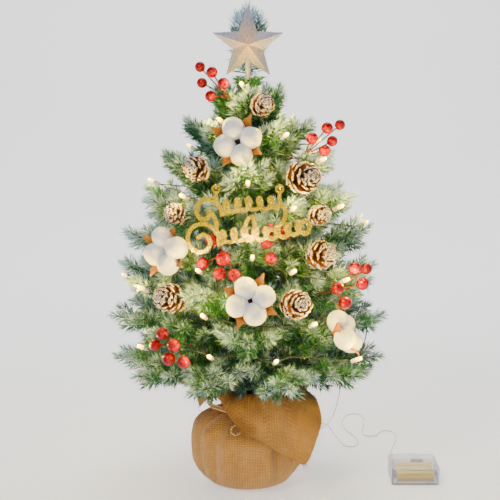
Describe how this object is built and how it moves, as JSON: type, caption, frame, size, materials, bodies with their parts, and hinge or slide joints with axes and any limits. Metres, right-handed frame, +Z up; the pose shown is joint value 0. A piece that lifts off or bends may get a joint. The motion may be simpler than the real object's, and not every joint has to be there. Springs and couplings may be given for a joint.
{
  "type": "artificial tabletop tree",
  "caption": "Tabletop artificial tree with frosted needle branches, cones, cotton, berries, lit star, hanging sign, burlap-wrapped base and a battery light string.",
  "frame": {"origin": "centre of the burlap-wrapped base on its flat underside", "axes": "+Z up along the trunk, -Y towards the decorated front, +X to the right seen from the front, towards the battery box"},
  "size_m": [0.421, 0.46, 0.61],
  "materials": {
    "burlap": "matte",
    "pot_plastic": "satin",
    "cement": "matte",
    "twine": "matte",
    "trunk_wrap": "satin",
    "branch_wire": "satin",
    "needles": "satin",
    "star_shell": "satin",
    "star_socket": "satin",
    "pinecone": "matte",
    "cotton": "matte",
    "sepal": "matte",
    "pick_stem": "satin",
    "berry": "gloss",
    "sign_glitter": "gloss",
    "hook_wire": "gloss",
    "led_lens": "gloss",
    "led_holder": "gloss",
    "lead_insulation": "gloss",
    "clear_box": "gloss",
    "cell_wrap": "gloss",
    "contact_metal": "polished",
    "board": "satin",
    "switch_plastic": "satin",
    "grommet": "matte"
  },
  "bodies": {
    "root": {"base_pot": "pot_plastic", "battery_case": "clear_box", "battery_cells": "cell_wrap", "berry_stems": "pick_stem", "burlap_corners": "burlap", "burlap_wrap": "burlap", "cement_fill": "cement", "circuit_board": "board", "contact_plates": "contact_metal", "contact_springs": "contact_metal", "cord_grommet": "grommet", "cotton_lobes": "cotton", "cotton_sepals": "sepal", "cotton_stems": "pick_stem", "lead_wire": "lead_insulation", "leader_needles": "needles", "leader_wire": "branch_wire", "led_bulbs": "led_lens", "led_holders": "led_holder", "light_string_wire": "lead_insulation", "neck_twine": "twine", "pinecone_wires": "branch_wire", "pinecones": "pinecone", "red_berries": "berry", "sign_hooks": "hook_wire", "tier_1_needles": "needles", "tier_1_wires": "branch_wire", "tier_2_needles": "needles", "tier_2_wires": "branch_wire", "tier_3_needles": "needles", "tier_3_wires": "branch_wire", "tier_4_needles": "needles", "tier_4_wires": "branch_wire", "tier_5_needles": "needles", "tier_5_wires": "branch_wire", "tier_6_needles": "needles", "tier_6_wires": "branch_wire", "tier_7_needles": "needles", "tier_7_wires": "branch_wire", "tier_8_needles": "needles", "tier_8_wires": "branch_wire", "trunk_pole": "trunk_wrap"},
    "box_cover": {"battery_cover": "clear_box"},
    "loose_branch_1": {"loose_branch_1_needles": "needles", "loose_branch_1_wire": "branch_wire"},
    "loose_branch_2": {"loose_branch_2_needles": "needles", "loose_branch_2_wire": "branch_wire"},
    "loose_branch_3": {"loose_branch_3_needles": "needles", "loose_branch_3_wire": "branch_wire"},
    "loose_branch_4": {"loose_branch_4_needles": "needles", "loose_branch_4_wire": "branch_wire"},
    "loose_branch_5": {"loose_branch_5_needles": "needles", "loose_branch_5_wire": "branch_wire"},
    "loose_branch_6": {"loose_branch_6_needles": "needles", "loose_branch_6_wire": "branch_wire"},
    "hanging_sign": {"sign": "sign_glitter"},
    "star": {"star_back_shell": "star_shell", "star_front_shell": "star_shell", "star_socket": "star_socket"},
    "switch": {"switch_slider": "switch_plastic"}
  },
  "joints": [
    {"name": "star_lift", "type": "slide", "parent": "root", "child": "star", "axis": [0, 0, 1], "range_m": [0, 0.06]},
    {"name": "sign_swing", "type": "hinge", "parent": "root", "child": "hanging_sign", "pos_m": [0, -0.128, 0.4], "axis": [-1, 0, 0], "range_deg": [0, 40]},
    {"name": "cover_slide", "type": "slide", "parent": "root", "child": "box_cover", "axis": [1, 0, 0], "range_m": [0, 0.055]},
    {"name": "switch_slide", "type": "slide", "parent": "root", "child": "switch", "axis": [1, 0, 0], "range_m": [0, 0.004]},
    {"name": "branch_1_bend", "type": "hinge", "parent": "root", "child": "loose_branch_1", "pos_m": [0.006, 0, 0.15], "axis": [0, -1, 0], "range_deg": [-10, 10]},
    {"name": "branch_2_bend", "type": "hinge", "parent": "root", "child": "loose_branch_2", "pos_m": [0.00485, 0.00353, 0.15], "axis": [0.5878, -0.809, 0], "range_deg": [-10, 10]},
    {"name": "branch_3_bend", "type": "hinge", "parent": "root", "child": "loose_branch_3", "pos_m": [0.00185, 0.00571, 0.15], "axis": [0.9511, -0.309, 0], "range_deg": [-10, 10]},
    {"name": "branch_4_bend", "type": "hinge", "parent": "root", "child": "loose_branch_4", "pos_m": [-0.00185, 0.00571, 0.15], "axis": [0.9511, 0.309, 0], "range_deg": [-10, 10]},
    {"name": "branch_5_bend", "type": "hinge", "parent": "root", "child": "loose_branch_5", "pos_m": [-0.00485, 0.00353, 0.15], "axis": [0.5878, 0.809, 0], "range_deg": [-10, 10]},
    {"name": "branch_6_bend", "type": "hinge", "parent": "root", "child": "loose_branch_6", "pos_m": [-0.006, 0, 0.15], "axis": [0, 1, 0], "range_deg": [-10, 10]}
  ]
}
